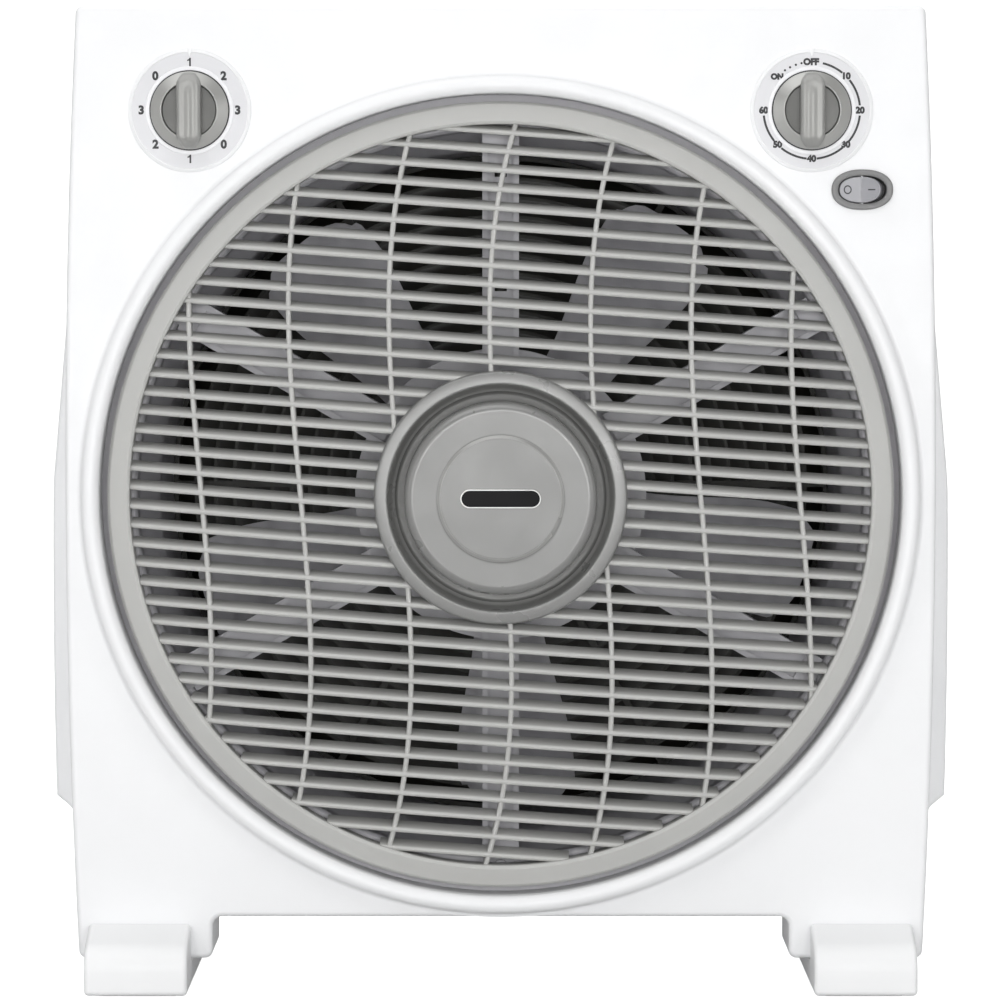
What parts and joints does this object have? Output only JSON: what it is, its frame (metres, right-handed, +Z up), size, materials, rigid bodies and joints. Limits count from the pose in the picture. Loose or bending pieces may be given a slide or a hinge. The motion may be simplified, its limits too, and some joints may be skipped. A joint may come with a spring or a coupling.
{
  "type": "box fan",
  "caption": "Box fan on two feet with a round louvered grille that turns in front of the blades, a speed knob, a timer knob and a rocker switch.",
  "frame": {"origin": "on the floor, under the middle of the feet", "axes": "+Z up, the front faces -Y, +X to the right seen from the front"},
  "size_m": [0.413, 0.18, 0.4437],
  "materials": {
    "body_white": "satin moulded",
    "grille_grey": "satin moulded",
    "inner_grey": "satin moulded",
    "guard_dark": "fine grained",
    "cap_grey": "satin paint",
    "knob_silver": "silver coated",
    "dial_grey": "printed satin",
    "switch_grey": "fine grained",
    "rocker_grey": "satin",
    "badge_plate": "brushed",
    "zinc_steel": "zinc plated",
    "motor_steel": "satin",
    "core_steel": "laminated",
    "copper_wire": "enamelled",
    "bronze": "sintered",
    "rubber_black": "matte",
    "black_plastic": "matte",
    "nylon_white": "matte"
  },
  "bodies": {
    "housing": {"front_housing": "body_white", "rear_housing": "body_white", "air_duct": "inner_grey", "front_spider": "inner_grey", "rear_guard": "guard_dark", "motor_cover": "guard_dark", "left_foot": "body_white", "right_foot": "body_white", "foot_pads": "rubber_black", "foot_screws": "zinc_steel", "housing_screws": "zinc_steel", "duct_screws": "zinc_steel", "guard_screws": "zinc_steel", "spider_screws": "zinc_steel", "thrust_washer": "black_plastic", "retaining_washer": "zinc_steel", "hub_cap": "cap_grey", "hub_badge": "badge_plate", "grille_motor": "zinc_steel", "grille_motor_screws": "zinc_steel", "stator_core": "core_steel", "stator_windings": "copper_wire", "motor_front_bell": "motor_steel", "motor_rear_bell": "motor_steel", "front_bush": "bronze", "rear_bush": "bronze", "motor_bolts": "zinc_steel", "motor_mount_screws": "zinc_steel", "run_capacitor": "nylon_white", "speed_switch": "black_plastic", "speed_dial": "dial_grey", "timer": "zinc_steel", "timer_dial": "dial_grey", "control_nuts": "zinc_steel", "rocker_switch": "switch_grey", "rocker_pin": "zinc_steel", "cord_gland": "black_plastic", "terminal_block": "nylon_white", "wiring_loom": "rubber_black"},
    "grille": {"louver_grille": "grille_grey"},
    "drive_gear": {"drive_pinion": "nylon_white", "grille_motor_shaft": "zinc_steel"},
    "fan": {"fan_blade": "inner_grey", "blade_nut": "inner_grey", "drive_pin": "zinc_steel", "motor_shaft": "zinc_steel", "rotor_core": "core_steel"},
    "speed_control": {"speed_knob": "knob_silver", "speed_switch_shaft": "zinc_steel"},
    "timer_control": {"timer_knob": "knob_silver", "timer_shaft": "zinc_steel"},
    "rocker_key": {"rocker": "rocker_grey"}
  },
  "joints": [
    {"name": "fan_spin", "type": "hinge", "parent": "housing", "child": "fan", "pos_m": [0, 0, 0.224], "axis": [0, 1, 0], "continuous": true},
    {"name": "grille_spin", "type": "hinge", "parent": "housing", "child": "grille", "pos_m": [0, -0.06, 0.224], "axis": [0, 1, 0], "continuous": true},
    {"name": "drive_gear_spin", "type": "hinge", "parent": "housing", "child": "drive_gear", "pos_m": [0, -0.047, 0.194], "axis": [0, 1, 0], "continuous": true},
    {"name": "speed_knob_turn", "type": "hinge", "parent": "housing", "child": "speed_control", "pos_m": [-0.1393, -0.065, 0.3969], "axis": [0, 1, 0], "continuous": true},
    {"name": "timer_knob_turn", "type": "hinge", "parent": "housing", "child": "timer_control", "pos_m": [0.1393, -0.065, 0.3969], "axis": [0, 1, 0], "range_deg": [-45, 270]},
    {"name": "rocker_tilt", "type": "hinge", "parent": "housing", "child": "rocker_key", "pos_m": [0.1621, -0.057, 0.3615], "axis": [0, 0, 1], "range_deg": [0, 24]}
  ],
  "couplings": [
    {"joint": "drive_gear_spin", "follows": "grille_spin", "ratio": 6}
  ]
}
